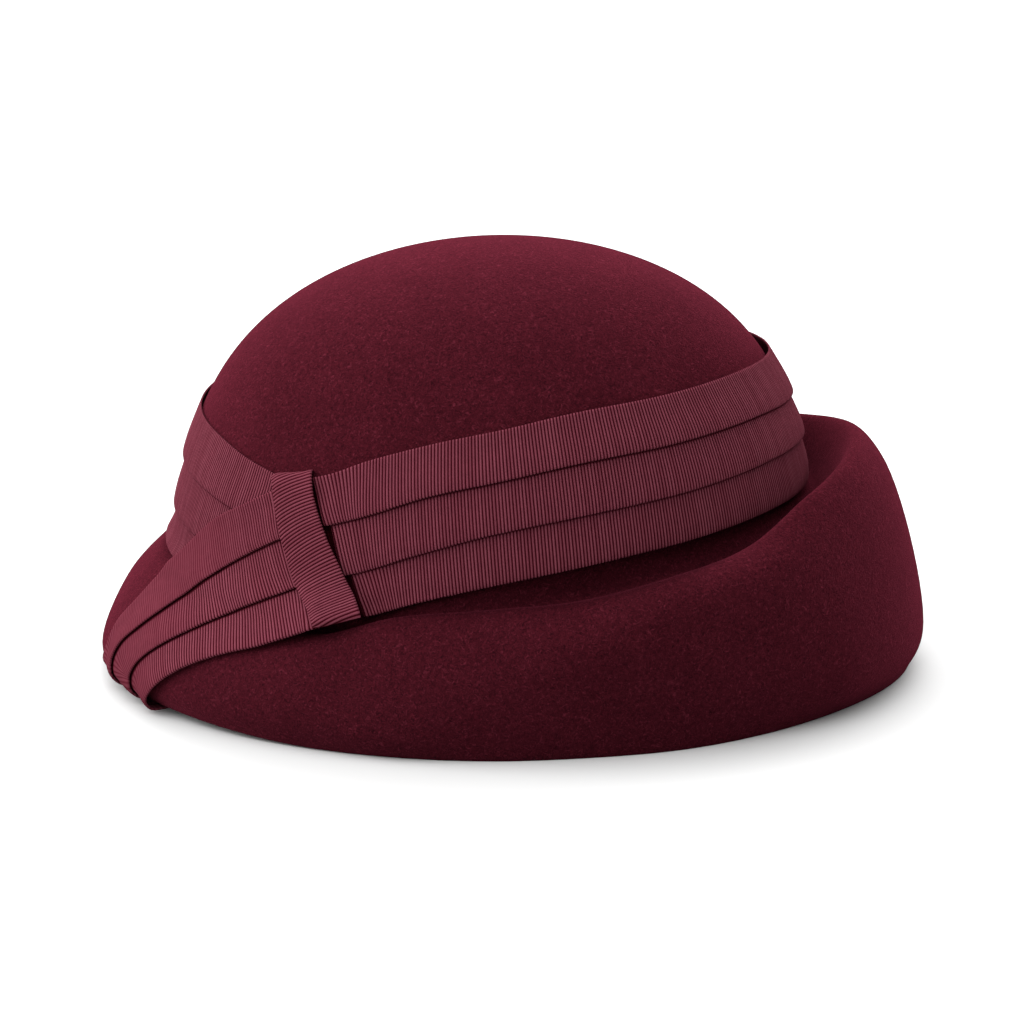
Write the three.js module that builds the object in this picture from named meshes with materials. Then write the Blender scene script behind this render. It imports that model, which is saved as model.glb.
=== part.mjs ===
// A cocktail hat: one moulded felt body with a rolled brim, a band of three
// shingled tiers of corded ribbon, a ribbon tail of three pleats that runs down
// over the brim and under its rim, and a strap of ribbon round the knot.
//
// Millimetres, +Z up. X runs along the hat's long axis, the high rolled end of the
// brim at +X and the low end with the tail at -X; the knot faces -Y. The origin is
// on the surface that the rim rests on, under the middle of the hat.
// An azimuth is an angle in degrees round the crown, from +X towards +Y.

import * as THREE from 'three';

// ---- Driving dimensions -----------------------------------------------------

// Crown: an oval dome with a squarish shoulder.
const CROWN_HALF_LENGTH = 102;
const CROWN_OVAL = 0.86; // width over length
const CROWN_CENTRE_X = -7.4;
const CROWN_FOOT_Z = 45;
const CROWN_TOP_Z = 138.8;
const SHOULDER_POWER = 3.15; // 2 is an ellipse, more is squarer
const CROWN_TAPER = 0.093; // part of the length lost from foot to top
const CROWN_LEAN = 5; // how far the top stands towards +X

const CENTRE_SHIFT_X = -0.5; // brings the middle of the hat over the origin

// Felt: one wall, with a cut edge that lies flat on the surface.
const FELT_WALL = 2.2;
const RIM_FACE = 2.6; // width of the cut edge
const FOOT_ABOVE_GROOVE = 5; // where the crown starts to turn into the groove
const JOIN_ABOVE_GROOVE = 11; // where the plain dome ends

// Ribbon: tiers laid like shingles, each over the top of the next.
const RIBBON = 1; // thickness
const LAP = 3; // how far a tier covers the next
const LAID = 0.3; // inner face above the felt at a tier's upper edge
const LAPPED = 0.4; // the same where the tier above stops covering it
const LIFTED = 1.8; // the same over the lap, where the next tier lies below
const TAIL_LIFT = 0.25; // the tail's pleats lie this much higher, over the brim's bends
const CUT_LOW = 0.4; // where a tier narrower than two laps starts to lift, of its width
const CUT_HIGH = 0.7; // and where it is fully lifted
const STRAP_BOW = 0.4; // how far the knot's strap bows over the oval of the crown
const STRAP_SHARES = [0, 0.33, 0.67, 1]; // points across the strap

// Mesh: how finely the walls are faceted.
const AZIMUTH_STEP = 6;
const DOME_RINGS = 11;
const BRIM_RINGS = 13;
const DOME_SPAN = 8; // the dome's share of the profile parameter v
const HALVINGS = 30; // steps in the search for a height on the crown's wall

// ---- Tables -------------------------------------------------------------------

// Brim profile round the hat. "out" is measured outwards from the crown's foot
// oval, z from the surface. The felt runs from the crown through the groove, over
// the crest of the roll, down the wall to the belly and under to the rim.
const BRIM = table(
  'azimuth grooveOut grooveZ crestOut crestZ wallOut wallZ bellyOut bellyZ rimOut rimZ',
  [
    [0, 6, 57, 16, 76.5, 26, 66, 40.6, 14, 36, 0],
    [30, 6, 53, 15, 68.7, 25, 60, 36, 14, 32, 0],
    [60, 5.5, 48, 12.5, 59, 20.5, 51, 27, 13, 23.5, 0],
    [90, 5, 45, 11, 54, 16, 45, 19, 12, 15.5, 0],
    [120, 4.5, 42, 9.5, 46, 16, 37, 20.5, 11, 17, 0],
    [150, 3, 41, 8, 38.5, 17, 28, 23.5, 8.5, 20.5, 0.5],
    [180, 2.2, 41.5, 7.6, 36.5, 17, 26, 24.7, 7.2, 22.5, 3.2],
    [210, 3, 38.5, 9, 34.5, 18.5, 23.5, 24, 8.2, 21, 3.4],
    [240, 3.5, 39, 9, 37, 16.5, 27, 21, 10, 17.5, 0.5],
    [270, 4, 46, 9.5, 48, 15.5, 38, 19, 13, 15, 0],
    [300, 5, 48.5, 11.5, 54.5, 19, 46, 24, 14, 20, 0],
    [330, 6, 54, 15.5, 68, 25, 59, 35, 14, 31, 0],
  ],
);

// Heights of the band's edges round the crown: its top, the two folds between the
// tiers and its foot. It dips towards the knot, near azimuth 240.
const BAND = table('azimuth top upperFold lowerFold foot', [
  [0, 104.2, 89.6, 76.6, 62.6],
  [30, 103, 88.3, 75, 60.5],
  [60, 100.5, 85.6, 71.6, 57.2],
  [90, 97, 82, 67.5, 53],
  [120, 92.8, 77.8, 62.8, 48.3],
  [150, 88.8, 73.6, 58, 44.6],
  [180, 86.6, 70.6, 54.4, 42.4],
  [204, 84, 67.6, 52, 40.4],
  [222, 80, 64, 49.5, 39.6],
  [237, 80.2, 65, 50, 39.6],
  [246, 86.4, 69.7, 52.7, 40.2],
  [258, 92.4, 77.3, 60.4, 44],
  [270, 96.4, 82, 66.6, 50.8],
  [285, 100.6, 86.6, 71.2, 56],
  [300, 102.4, 88.9, 74.1, 60.2],
  [330, 104, 91.2, 77.6, 63.1],
]);

// Where the tail's upper edge crosses the band: the band's tiers stop above it.
const TAIL_CUT = table('azimuth z', [
  [192, 38],
  [198, 45.5],
  [208, 56],
  [214, 62.5],
  [220, 69],
  [228, 76.5],
  [236, 82],
]);

// Tiers of the band: the columns of BAND between which each lies, and the azimuths
// of its two ends. It starts under the strap and runs once round, past 360.
const BAND_TIERS = table('name upper lower start end', [
  ['band_tier_top', 'top', 'upperFold', 236, 590],
  ['band_tier_middle', 'upperFold', 'lowerFold', 238.5, 576],
  ['band_tier_bottom', 'lowerFold', 'foot', 242, 564],
]);

// The tail's bed, the surface its pleats are laid on: x, y, z of its upper edge,
// its two folds and its foot, from the knot down to the rim and under it.
const TAIL_BED = {
  upper: [
    [-68.7, -64.1, 75.3], [-73, -61.5, 73.5], [-83, -54.5, 67], [-89, -49, 61], [-96, -41.5, 54.5],
    [-104.8, -34, 46.5], [-113.3, -28, 36.7], [-120.3, -26.7, 28.4], [-127, -24, 19.6],
    [-130, -24, 12.6], [-131.6, -24.1, 6.5], [-129, -23.6, 3.3], [-126.4, -23, 3.3], [-124.5, -22.5, 3.3],
  ],
  upperFold: [
    [-67.2, -68.5, 61.2], [-70.5, -66.6, 59.4], [-80, -60.5, 53.3], [-87.2, -56, 47.2],
    [-94.8, -53.2, 40.3], [-102, -51.2, 34.8], [-109.1, -49.8, 29], [-116, -46.7, 23],
    [-122.5, -41.7, 15.8], [-125.6, -39.5, 10.2], [-125.8, -39.6, 6.3], [-123.3, -38.5, 3.5],
    [-120.9, -37.5, 3.5], [-119, -36.7, 3.5],
  ],
  lowerFold: [
    [-62.3, -75, 47.7], [-65.3, -74, 46], [-75.2, -71.5, 40.6], [-83, -70.3, 35.6], [-91.5, -67.7, 31.7],
    [-99.5, -64.4, 27.6], [-107.3, -60.1, 22.8], [-113, -56.4, 18], [-117, -53.6, 13.3],
    [-118.6, -53, 8.9], [-117.9, -53.4, 6.2], [-115.7, -52.2, 3.5], [-113.6, -50.8, 3.5],
    [-112, -49.7, 3.5],
  ],
  foot: [
    [-56, -88.3, 37], [-59.6, -87.4, 36], [-69.6, -84.4, 32.5], [-78.3, -81.6, 29.1], [-87.3, -77.8, 25.3],
    [-95.9, -73.4, 21.1], [-103, -69.2, 16.8], [-107.8, -66, 12.5], [-110.8, -63.5, 8.9],
    [-111.9, -61.2, 6.4], [-111.4, -59.6, 4.6], [-110, -58.3, 3.4], [-108, -57, 3.3],
    [-106.5, -56, 3.3],
  ],
};
const TAIL_TIERS = ['tail_tier_top', 'tail_tier_middle', 'tail_tier_bottom'];

// The strap round the knot, from above the band's top edge down to the brim: its
// two edges, and how far its inner face stands off the bed that they give.
const STRAP = table('leftX leftY leftZ rightX rightY rightZ lift', [
  [-73, -60.8, 81.2, -60.4, -68.1, 83.2, 0.4],
  [-72.8, -61.2, 79.9, -60.1, -68.7, 81.9, 1.8],
  [-72.4, -61.9, 78, -59.7, -69.5, 80, 2.9],
  [-71.8, -64, 71, -58.6, -71.8, 72.5, 2.9],
  [-70.6, -66.8, 63, -56.9, -74.6, 64, 2.9],
  [-68.6, -69.8, 55, -54.4, -77.2, 55.5, 2.9],
  [-65.3, -73.6, 47.5, -51, -79.6, 47.6, 3.2],
  [-62.4, -80.4, 41, -48.4, -82.2, 42, 3.8],
  [-59.6, -89, 35.4, -45.8, -87.6, 38.8, 3.5],
]);

// ---- Felt surface ------------------------------------------------------------

function table(columns, rows) {
  const names = columns.split(' ');
  return rows.map((row) => Object.fromEntries(names.map((name, i) => [name, row[i]])));
}

// Value of one column at an azimuth: a smooth closed curve through the rows.
function around(rows, column, azimuth) {
  const a = ((azimuth % 360) + 360) % 360;
  const n = rows.length;
  const at = (i) => rows[((i % n) + n) % n];
  const angle = (i) => at(i).azimuth + 360 * Math.floor(i / n);
  const slope = (i) => (at(i + 1)[column] - at(i - 1)[column]) / (angle(i + 1) - angle(i - 1));
  let i = n - 1;
  while (angle(i) > a) i -= 1;
  const step = angle(i + 1) - angle(i);
  const t = (a - angle(i)) / step;
  const from = (1 + 2 * t) * (1 - t) ** 2 * at(i)[column] + t * (1 - t) ** 2 * step * slope(i);
  const to = t * t * (3 - 2 * t) * at(i + 1)[column] - t * t * (1 - t) * step * slope(i + 1);
  return from + to;
}

function crownPoint(azimuth, z) {
  const angle = THREE.MathUtils.degToRad(azimuth);
  const height = (z - CROWN_FOOT_Z) / (CROWN_TOP_Z - CROWN_FOOT_Z);
  const rise = THREE.MathUtils.clamp(height, 0, 1);
  const round = Math.sqrt(Math.max(1 - rise ** SHOULDER_POWER, 0));
  const half = CROWN_HALF_LENGTH * round * (1 - CROWN_TAPER * height);
  const centre = CROWN_CENTRE_X + CROWN_LEAN * rise;
  return new THREE.Vector3(centre + half * Math.cos(angle), CROWN_OVAL * half * Math.sin(angle), z);
}

function brimPoint(azimuth, out, z) {
  const angle = THREE.MathUtils.degToRad(azimuth);
  const halfWidth = CROWN_OVAL * CROWN_HALF_LENGTH;
  const foot = new THREE.Vector3(
    CROWN_CENTRE_X + CROWN_HALF_LENGTH * Math.cos(angle), halfWidth * Math.sin(angle), z);
  const outward = new THREE.Vector3(
    Math.cos(angle) / CROWN_HALF_LENGTH, Math.sin(angle) / halfWidth, 0).normalize();
  return foot.addScaledVector(outward, out);
}

function domeHeight(azimuth, v) {
  const join = around(BRIM, 'grooveZ', azimuth) + JOIN_ABOVE_GROOVE;
  return join + (CROWN_TOP_Z - join) * Math.cos((v / DOME_SPAN) * (Math.PI / 2));
}

function rimHeight(azimuth) {
  return Math.max(around(BRIM, 'rimZ', azimuth), 0);
}

// The brim's profile at one azimuth, from the last of the dome down to the rim.
function brimProfile(azimuth) {
  const at = (column) => around(BRIM, column, azimuth);
  return new THREE.CatmullRomCurve3([
    crownPoint(azimuth, domeHeight(azimuth, DOME_SPAN - 1)),
    crownPoint(azimuth, domeHeight(azimuth, DOME_SPAN)),
    crownPoint(azimuth, at('grooveZ') + FOOT_ABOVE_GROOVE),
    brimPoint(azimuth, at('grooveOut'), at('grooveZ')),
    brimPoint(azimuth, at('crestOut'), at('crestZ')),
    brimPoint(azimuth, at('wallOut'), at('wallZ')),
    brimPoint(azimuth, at('bellyOut'), at('bellyZ')),
    brimPoint(azimuth, at('rimOut'), rimHeight(azimuth)),
  ], false, 'centripetal');
}
const GROOVE_V = DOME_SPAN + 2;
const RIM_V = DOME_SPAN + 6;

// Outer face of the felt: v runs from 0 at the top of the crown to RIM_V.
function feltPoint(azimuth, v) {
  if (v <= DOME_SPAN) return crownPoint(azimuth, domeHeight(azimuth, v));
  return brimProfile(azimuth).getPoint((v - DOME_SPAN + 1) / (RIM_V - DOME_SPAN + 1));
}

function feltNormal(azimuth, v) {
  if (v === 0) return new THREE.Vector3(0, 0, 1);
  const turn = 0.2;
  const slide = 0.01;
  const across = feltPoint(azimuth + turn, v).sub(feltPoint(azimuth - turn, v));
  const down = feltPoint(azimuth, Math.min(v + slide, RIM_V)).sub(feltPoint(azimuth, v - slide));
  return down.cross(across).normalize();
}

// v of the crown wall at a height, found by halving between the top and the groove.
function wallAt(azimuth, z) {
  let above = 0;
  let below = GROOVE_V;
  for (let i = 0; i < HALVINGS; i += 1) {
    const middle = (above + below) / 2;
    if (feltPoint(azimuth, middle).z > z) above = middle;
    else below = middle;
  }
  return (above + below) / 2;
}

// ---- Meshes --------------------------------------------------------------------

// Joins closed loops of points, one after another, into a skin of triangles. The
// loops run clockwise when looked at along the way that they follow.
function skin(loops, closed) {
  const triangles = [];
  const face = (a, b, c) => {
    const area = b.clone().sub(a).cross(c.clone().sub(a)).length();
    if (area > 1e-6) triangles.push(a, b, c);
  };
  const last = closed ? loops.length : loops.length - 1;
  for (let i = 0; i < last; i += 1) {
    const near = loops[i];
    const far = loops[(i + 1) % loops.length];
    near.forEach((point, j) => {
      const k = (j + 1) % near.length;
      face(point, near[k], far[k]);
      face(point, far[k], far[j]);
    });
  }
  if (!closed) {
    cap(loops[0], face, false);
    cap(loops[loops.length - 1], face, true);
  }
  const geometry = new THREE.BufferGeometry();
  geometry.setAttribute('position', new THREE.Float32BufferAttribute(
    triangles.flatMap((p) => [p.x, p.y, p.z]), 3));
  geometry.computeVertexNormals();
  return geometry;
}

// Closes a loop whose first half is one face of a strip and second half the other.
function cap(loop, face, atEnd) {
  const n = loop.length;
  for (let j = 0; j < n / 2 - 1; j += 1) {
    const quad = [loop[j], loop[j + 1], loop[n - 2 - j], loop[n - 1 - j]];
    if (!atEnd) quad.reverse();
    face(quad[0], quad[1], quad[2]);
    face(quad[0], quad[2], quad[3]);
  }
}

function feltGeometry() {
  const rings = [];
  for (let i = 0; i <= DOME_RINGS; i += 1) rings.push((DOME_SPAN * i) / DOME_RINGS);
  for (let i = 1; i <= BRIM_RINGS; i += 1) rings.push(DOME_SPAN + ((RIM_V - DOME_SPAN) * i) / BRIM_RINGS);
  const loops = [];
  for (let azimuth = 0; azimuth < 360; azimuth += AZIMUTH_STEP) {
    const outer = rings.map((v) => feltPoint(azimuth, v));
    const inner = rings.slice(0, -1).map((v, i) => {
      return outer[i].clone().addScaledVector(feltNormal(azimuth, v), -FELT_WALL);
    });
    const rimOut = around(BRIM, 'rimOut', azimuth);
    inner.push(brimPoint(azimuth, rimOut - RIM_FACE, rimHeight(azimuth)));
    loops.push([...outer, ...inner.reverse()]);
  }
  return skin(loops, true);
}

// One section of a ribbon tier: its outer face, then its inner face backwards.
// bed(d) gives the point and the outward direction d millimetres below its upper
// edge. A tier too narrow for a lap, at the band's cut ends, stays down.
function tierSection(bed, width) {
  const fullLift = THREE.MathUtils.smoothstep(width, 3 * LAP, 4 * LAP);
  const lifted = THREE.MathUtils.lerp(LAPPED, LIFTED, fullLift);
  const low = Math.min(LAP, width * CUT_LOW);
  const high = Math.max(width - LAP, width * CUT_HIGH);
  const stops = [[0, LAID], [low, LAPPED], [high, lifted], [width, lifted]];
  const outer = stops.map(([d, lift]) => offBed(bed(d), lift + RIBBON));
  const inner = stops.map(([d, lift]) => offBed(bed(d), lift));
  return [...outer, ...inner.reverse()];
}

function offBed({ point, outward }, lift) {
  return point.clone().addScaledVector(outward, lift);
}

function raised(place, lift) {
  return { point: offBed(place, lift), outward: place.outward };
}

// Lowest height that the band may reach at an azimuth, past the tail.
function cutHeight(azimuth) {
  const first = TAIL_CUT[0];
  if (azimuth < first.azimuth) return -Infinity;
  const i = TAIL_CUT.findIndex((row) => row.azimuth >= azimuth);
  const to = TAIL_CUT[Math.max(i, 1)];
  const from = TAIL_CUT[Math.max(i, 1) - 1];
  const t = (azimuth - from.azimuth) / (to.azimuth - from.azimuth);
  return THREE.MathUtils.lerp(from.z, to.z, t);
}

function bandGeometry(tier) {
  const azimuths = [tier.start];
  const firstStep = Math.ceil((tier.start + 1) / AZIMUTH_STEP) * AZIMUTH_STEP;
  for (let a = firstStep; a < tier.end - 1; a += AZIMUTH_STEP) azimuths.push(a);
  azimuths.push(tier.end);
  const lapAbove = tier.upper === 'top' ? 0 : LAP;
  const loops = azimuths.map((azimuth) => {
    const top = around(BAND, tier.upper, azimuth) + lapAbove;
    const cut = azimuth > 360 ? cutHeight(azimuth - 360) : -Infinity;
    const bottom = Math.max(around(BAND, tier.lower, azimuth), cut);
    const bed = (d) => {
      const v = wallAt(azimuth, top - d);
      return { point: feltPoint(azimuth, v), outward: feltNormal(azimuth, v) };
    };
    return tierSection(bed, top - bottom);
  });
  return skin(loops, false);
}

// The bed of strips laid side by side, from the lines between them. bed(i, s) gives
// the point and the outward direction at station i, s lines along from the first.
function stripBed(lines) {
  const stations = lines[0].map((_, i) => new THREE.CatmullRomCurve3(
    lines.map((line) => new THREE.Vector3(...line[i])), false, 'centripetal'));
  const share = (s) => THREE.MathUtils.clamp(s / (lines.length - 1), 0, 1);
  return (i, s) => {
    const ahead = stations[Math.min(i + 1, stations.length - 1)].getPoint(share(s));
    const along = ahead.sub(stations[Math.max(i - 1, 0)].getPoint(share(s)));
    const across = stations[i].getTangent(share(s));
    return { point: stations[i].getPoint(share(s)), outward: along.cross(across).normalize() };
  };
}

function tailGeometry(index) {
  const bedLines = Object.values(TAIL_BED);
  const bed = stripBed(bedLines);
  const loops = bedLines[0].map((_, i) => {
    const widthOf = (panel) => bed(i, panel).point.distanceTo(bed(i, panel + 1).point);
    const lap = index > 0 ? LAP : 0;
    const above = lap > 0 ? widthOf(index - 1) : 1;
    const width = widthOf(index);
    const down = (d) => bed(i, d < lap ? index - (lap - d) / above : index + (d - lap) / width);
    return tierSection((d) => raised(down(d), TAIL_LIFT), width + lap);
  });
  return skin(loops.reverse(), false);
}

function strapGeometry() {
  const bed = stripBed([
    STRAP.map((row) => [row.leftX, row.leftY, row.leftZ]),
    STRAP.map((row) => [row.rightX, row.rightY, row.rightZ]),
  ]);
  const loops = STRAP.map(({ lift }, i) => {
    const bow = (u) => lift + STRAP_BOW * 4 * u * (1 - u);
    const outer = STRAP_SHARES.map((u) => offBed(bed(i, u), bow(u) + RIBBON));
    const inner = STRAP_SHARES.map((u) => offBed(bed(i, u), bow(u)));
    return [...outer, ...inner.reverse()];
  });
  return skin(loops.reverse(), false);
}

// ---- Object ----------------------------------------------------------------------

function piece(name, geometry, { color, roughness }) {
  const material = new THREE.MeshStandardMaterial({ color, roughness, metalness: 0 });
  const mesh = new THREE.Mesh(geometry, material);
  mesh.name = name;
  return mesh;
}

const FELT = { color: 0x541a28, roughness: 0.95 };
const CORDED_RIBBON = { color: 0x672e3a, roughness: 0.7 };

const hat = new THREE.Group();
hat.position.x = CENTRE_SHIFT_X;
hat.add(piece('felt_body', feltGeometry(), FELT));
BAND_TIERS.forEach((tier) => hat.add(piece(tier.name, bandGeometry(tier), CORDED_RIBBON)));
TAIL_TIERS.forEach((name, i) => hat.add(piece(name, tailGeometry(i), CORDED_RIBBON)));
hat.add(piece('knot_strap', strapGeometry(), CORDED_RIBBON));

export default hat;
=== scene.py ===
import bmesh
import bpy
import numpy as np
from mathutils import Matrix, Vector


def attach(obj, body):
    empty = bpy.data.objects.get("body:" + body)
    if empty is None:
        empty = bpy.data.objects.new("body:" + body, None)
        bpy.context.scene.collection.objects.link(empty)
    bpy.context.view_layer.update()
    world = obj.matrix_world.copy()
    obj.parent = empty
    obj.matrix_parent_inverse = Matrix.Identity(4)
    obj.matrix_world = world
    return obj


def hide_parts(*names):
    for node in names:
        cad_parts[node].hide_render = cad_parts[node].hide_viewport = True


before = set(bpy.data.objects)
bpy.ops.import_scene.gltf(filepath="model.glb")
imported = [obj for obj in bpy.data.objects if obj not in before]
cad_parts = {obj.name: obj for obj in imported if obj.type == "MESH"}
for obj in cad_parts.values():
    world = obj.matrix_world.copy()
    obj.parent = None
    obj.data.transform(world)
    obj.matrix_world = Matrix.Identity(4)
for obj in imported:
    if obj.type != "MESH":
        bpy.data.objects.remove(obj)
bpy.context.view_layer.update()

# %% [markdown]
# # A cocktail hat of wool felt and corded ribbon
#
# The real hat starts as one hood of wool felt. It is steamed, pulled over a block and
# dried there, which gives the domed crown and the brim that rolls up high at one end.
# A band of ribbon in three pleats goes round the crown, crosses over itself at a knot,
# and runs on as a tail over the brim. A strap of the same ribbon wraps the knot.
#
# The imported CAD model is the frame: it says how large the hat is and where its pieces
# lie. Everything below is made in millimetres by the same rules as that model, and
# becomes metres when a mesh is made.

MM = 0.001


def table(columns, rows):
    """Rows of numbers as a dictionary of columns."""
    return dict(zip(columns.split(), np.array(rows, float).T))


def unit(vectors):
    return vectors / np.maximum(np.linalg.norm(vectors, axis=-1, keepdims=True), 1e-9)


def smoothstep(x, low, high):
    t = np.clip((x - low) / (high - low), 0, 1)
    return t * t * (3 - 2 * t)


# %% [markdown]
# ## The shape of the felt
#
# A hat block is a smooth form that changes all the way round, so a short table of
# profiles at a few azimuths, with smooth curves between them, describes it best. The
# crown above is a formula: an oval whose size falls off towards the top, more squarely
# than a ball would. Azimuths are degrees round the crown from +X towards +Y.

# %% Crown and brim dimensions, in millimetres
CROWN_HALF_LENGTH = 102
CROWN_OVAL = 0.86  # width by length
CROWN_CENTRE_X = -7.4
CROWN_FOOT_Z = 45
CROWN_TOP_Z = 138.8
SHOULDER_POWER = 3.15  # 2 is as round as a ball, more is squarer
CROWN_TAPER = 0.093  # how much smaller the oval is at the top, of 1
CROWN_LEAN = 5  # how far the top lies towards +X of the foot
CENTRE_SHIFT = np.array([-0.5, 0, 0])  # brings the whole hat to the middle of the frame
FELT_WALL = 2.2
RIM_FACE = 2.6
FOOT_ABOVE_GROOVE = 5
JOIN_ABOVE_GROOVE = 11  # where the dome's formula ends and the profiles begin
DOME_SPAN = 8  # v on the dome, where v counts places down a profile
GROOVE_V = DOME_SPAN + 2
RIM_V = DOME_SPAN + 6

BRIM = table(
    "azimuth groove_out groove_z crest_out crest_z wall_out wall_z belly_out belly_z rim_out rim_z",
    [
        (0, 6, 57, 16, 76.5, 26.6, 66, 40, 13.1, 36.2, 0),
        (30, 6, 53, 15, 68.7, 25, 60, 36, 14, 32, 0),
        (60, 5.5, 48, 12.5, 59, 20.5, 51, 27, 13, 23.5, 0),
        (90, 5, 45, 11, 54, 16, 45, 19, 12, 15.5, 0),
        (120, 4.5, 42, 9.5, 46, 16, 37, 20.5, 11, 17, 0),
        (150, 3, 41, 8, 38.5, 17, 28, 23.5, 8.5, 20.5, 0.5),
        (180, 2.2, 41.5, 7.6, 36.5, 17, 26, 24.7, 7.2, 22.5, 3.2),
        (210, 3, 38.5, 9, 34.5, 18.5, 23.5, 24, 8.2, 21.5, 3.4),
        (240, 2.6, 32.6, 8.5, 33.4, 16.6, 26.2, 20.9, 10.4, 17.4, 0.5),
        (255, 2.6, 39.5, 8, 41.9, 16.7, 23.9, 20.8, 6.8, 16.5, 0.1),
        (270, 2.6, 43.3, 8.7, 45.3, 18.8, 27.7, 19.2, 11.8, 16.9, 0),
        (285, 3, 45.7, 12.3, 48.3, 21, 37.6, 20.4, 16.9, 17.4, 0),
        (300, 3.6, 49.5, 14.5, 53.9, 22.9, 46.5, 23.1, 18.2, 20.1, 0),
        (315, 4.5, 51.2, 14.1, 59.2, 23.8, 55, 28.1, 16.3, 22.2, 0),
        (330, 6, 54, 15.1, 70.2, 25, 59, 35.5, 13.2, 25.7, 0),
    ],
)
print(f"brim: its crest is {BRIM['crest_z'].min():.0f} to {BRIM['crest_z'].max():.0f} mm high")


# %% Curves through the tables
def around(rows, column, azimuth):
    """One column at any azimuths: a smooth closed curve through the rows."""
    x, y = rows["azimuth"], rows[column]
    x = np.concatenate([x[-2:] - 360, x, x[:3] + 360])
    y = np.concatenate([y[-2:], y, y[:3]])
    slope = np.zeros_like(y)
    slope[1:-1] = (y[2:] - y[:-2]) / (x[2:] - x[:-2])
    a = np.asarray(azimuth, float) % 360
    i = np.clip(np.searchsorted(x, a, side="right") - 1, 1, len(x) - 3)
    step = x[i + 1] - x[i]
    t = (a - x[i]) / step
    start = (1 + 2 * t) * (1 - t) ** 2 * y[i] + t * (1 - t) ** 2 * step * slope[i]
    return start + t * t * (3 - 2 * t) * y[i + 1] - t * t * (1 - t) * step * slope[i + 1]


print(f"between two rows, at azimuth 277, the crest is {around(BRIM, 'crest_z', 277):.1f} mm high")


# %% Curves through points in space
def spline(knots, t):
    """Points at t on centripetal splines. knots is (knot, curve, xyz); t is (curve, sample)."""
    padded = np.concatenate([2 * knots[:1] - knots[1:2], knots, 2 * knots[-1:] - knots[-2:-1]])
    i = np.clip(np.floor(t).astype(int), 0, len(knots) - 2)
    curve = np.arange(knots.shape[1])[:, None]
    a, b, c, d = (padded[i + k, curve] for k in range(4))

    def gap(p, q):
        return np.maximum(np.linalg.norm(q - p, axis=-1, keepdims=True), 1e-6) ** 0.5

    first, middle, last = gap(a, b), gap(b, c), gap(c, d)
    leaving = ((b - a) / first - (c - a) / (first + middle) + (c - b) / middle) * middle
    arriving = ((c - b) / middle - (d - b) / (middle + last) + (d - c) / last) * middle
    s = (t - i)[..., None]
    blend = (2 * s**3 - 3 * s**2 + 1) * b + (s**3 - 2 * s**2 + s) * leaving
    return blend + (3 * s**2 - 2 * s**3) * c + (s**3 - s**2) * arriving


# %% Points on the outer face of the felt
def crown_point(azimuth, z):
    """z is the height. The crown leans a little, so its centre moves as it rises."""
    angle = np.radians(azimuth)
    height = (z - CROWN_FOOT_Z) / (CROWN_TOP_Z - CROWN_FOOT_Z)
    rise = np.clip(height, 0, 1)
    half = CROWN_HALF_LENGTH * np.sqrt(np.maximum(1 - rise**SHOULDER_POWER, 0))
    half = half * (1 - CROWN_TAPER * height)
    x = CROWN_CENTRE_X + CROWN_LEAN * rise + half * np.cos(angle)
    return np.stack([x, CROWN_OVAL * half * np.sin(angle), z + 0 * angle], -1)


def brim_point(azimuth, out, z):
    """out is measured outwards from the oval of the crown's foot."""
    angle = np.radians(azimuth)
    half_width = CROWN_OVAL * CROWN_HALF_LENGTH
    outward = unit(np.stack([np.cos(angle) / CROWN_HALF_LENGTH, np.sin(angle) / half_width], -1))
    x = CROWN_CENTRE_X + CROWN_HALF_LENGTH * np.cos(angle) + out * outward[..., 0]
    return np.stack([x, half_width * np.sin(angle) + out * outward[..., 1], z + 0 * angle], -1)


# %% The whole outer face, from the top of the crown to the rim
def dome_height(azimuth, v):
    join = around(BRIM, "groove_z", azimuth) + JOIN_ABOVE_GROOVE
    return join + (CROWN_TOP_Z - join) * np.cos(v / DOME_SPAN * np.pi / 2)


def rim_height(azimuth):
    return np.maximum(around(BRIM, "rim_z", azimuth), 0)


def felt_point(azimuth, v):
    """v runs from 0 at the top of the crown, through the groove and the roll, to RIM_V."""
    azimuth, v = np.broadcast_arrays(np.asarray(azimuth, float), np.asarray(v, float))
    a, v = azimuth.ravel(), v.ravel()

    def at(column):
        return around(BRIM, column, a)

    knots = np.array([
        crown_point(a, dome_height(a, DOME_SPAN - 1)),
        crown_point(a, dome_height(a, DOME_SPAN)),
        crown_point(a, at("groove_z") + FOOT_ABOVE_GROOVE),
        brim_point(a, at("groove_out"), at("groove_z")),
        brim_point(a, at("crest_out"), at("crest_z")),
        brim_point(a, at("wall_out"), at("wall_z")),
        brim_point(a, at("belly_out"), at("belly_z")),
        brim_point(a, at("rim_out"), rim_height(a)),
    ])
    brim = spline(knots, np.maximum(v - DOME_SPAN + 1, 0)[:, None])[:, 0]
    dome = crown_point(a, dome_height(a, np.minimum(v, DOME_SPAN)))
    return np.where((v <= DOME_SPAN)[:, None], dome, brim).reshape(*azimuth.shape, 3)


def felt_normal(azimuth, v):
    turn, slide = 0.2, 0.01  # how far to each side it looks, in degrees and in v
    inside = np.clip(v, slide, RIM_V - slide)
    across = felt_point(azimuth + turn, inside) - felt_point(azimuth - turn, inside)
    down = felt_point(azimuth, inside + slide) - felt_point(azimuth, inside - slide)
    return unit(np.cross(down, across))


def wall_at(azimuth, z):
    """v of the crown's wall at a height, found by halving between the top and the groove."""
    above, below = np.zeros_like(z), np.full_like(z, GROOVE_V)
    for _ in range(24):
        middle = (above + below) / 2
        higher = felt_point(azimuth, middle)[..., 2] > z
        above, below = np.where(higher, middle, above), np.where(higher, below, middle)
    return (above + below) / 2


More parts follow.
